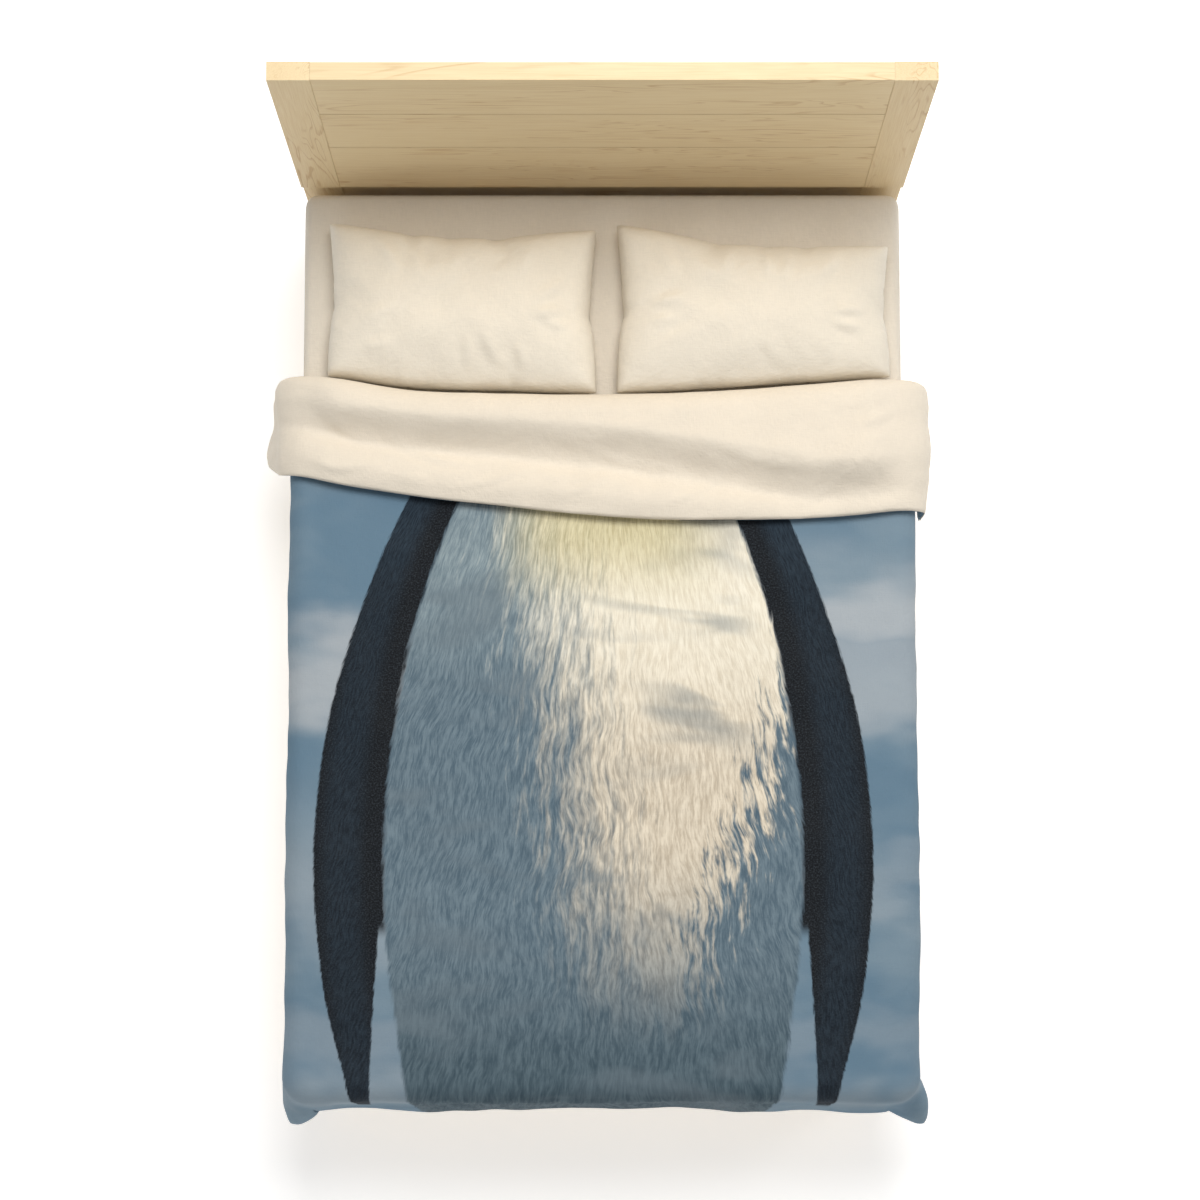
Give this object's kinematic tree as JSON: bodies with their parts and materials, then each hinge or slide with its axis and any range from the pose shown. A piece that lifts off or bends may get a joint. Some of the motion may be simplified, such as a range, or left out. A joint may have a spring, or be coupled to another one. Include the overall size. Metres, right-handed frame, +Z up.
{
  "type": "double bed with bedding",
  "caption": "Wooden double bed made up with mattress, fitted sheet, pillows and a duvet turned down at the head, its cover printed with a penguin's body.",
  "frame": {"origin": "centre of the bed's footprint, on the floor", "axes": "+Z up, +Y towards the headboard, +X to the right of someone at the foot looking at the headboard"},
  "size_m": [1.4722, 2.1284, 1.256],
  "materials": {
    "bedstead_wood": "satin clear lacquer over maple-coloured wood",
    "slat_wood": "planed, unlacquered",
    "steel": "zinc plated",
    "mattress_foam": "open-cell foam",
    "mattress_ticking": "woven ticking",
    "sheet_cotton": "plain cotton, cream",
    "elastic": "woven elastic",
    "pillow_cotton": "plain cotton, cream",
    "fibre_filling": "fibre batting",
    "printed_cover": "fine cotton, photo-style print of a penguin's body on icy blue",
    "cream_cover": "fine cotton, cream",
    "button_shell": "shell effect"
  },
  "bodies": {
    "bedstead": {"beam_bracket_foot": "steel", "beam_bracket_head": "steel", "centre_beam": "slat_wood", "centre_leg_1": "bedstead_wood", "centre_leg_2": "bedstead_wood", "foot_bolt_left_1": "steel", "foot_bolt_left_2": "steel", "foot_bolt_right_1": "steel", "foot_bolt_right_2": "steel", "foot_leg_left": "bedstead_wood", "foot_leg_right": "bedstead_wood", "foot_rail": "bedstead_wood", "head_bolt_left_1": "steel", "head_bolt_left_2": "steel", "head_bolt_right_1": "steel", "head_bolt_right_2": "steel", "headboard_lower_rail": "bedstead_wood", "headboard_plank_lower": "bedstead_wood", "headboard_plank_middle": "bedstead_wood", "headboard_plank_top": "bedstead_wood", "headboard_post_left": "bedstead_wood", "headboard_post_right": "bedstead_wood", "side_rail_left": "bedstead_wood", "side_rail_right": "bedstead_wood", "slat_01": "slat_wood", "slat_02": "slat_wood", "slat_03": "slat_wood", "slat_04": "slat_wood", "slat_05": "slat_wood", "slat_06": "slat_wood", "slat_07": "slat_wood", "slat_08": "slat_wood", "slat_09": "slat_wood", "slat_10": "slat_wood", "slat_11": "slat_wood", "slat_12": "slat_wood", "slat_13": "slat_wood", "slat_14": "slat_wood", "slat_ledge_left": "slat_wood", "slat_ledge_right": "slat_wood"},
    "mattress": {"fitted_sheet": "sheet_cotton", "fitted_sheet_elastic": "elastic", "mattress_core": "mattress_foam", "mattress_cover_base": "mattress_ticking", "mattress_cover_top": "mattress_ticking"},
    "duvet": {"cover_button_1": "button_shell", "cover_button_2": "button_shell", "cover_button_3": "button_shell", "cover_button_4": "button_shell", "cover_button_5": "button_shell", "duvet_cover_back": "cream_cover", "duvet_cover_face": "printed_cover", "duvet_filling": "fibre_filling"},
    "pillow_left": {"pillow_filling_left": "fibre_filling", "pillowcase_left": "pillow_cotton"},
    "pillow_right": {"pillow_filling_right": "fibre_filling", "pillowcase_right": "pillow_cotton"}
  },
  "joints": [
    {"name": "mattress_lift", "type": "slide", "parent": "bedstead", "child": "mattress", "axis": [0, 0, 1], "range_m": [0, 0.3]},
    {"name": "duvet_lift", "type": "slide", "parent": "mattress", "child": "duvet", "axis": [0, 0, 1], "range_m": [0, 0.35]},
    {"name": "pillow_left_lift", "type": "slide", "parent": "mattress", "child": "pillow_left", "axis": [0, 0, 1], "range_m": [0, 0.25]},
    {"name": "pillow_right_lift", "type": "slide", "parent": "mattress", "child": "pillow_right", "axis": [0, 0, 1], "range_m": [0, 0.25]}
  ]
}
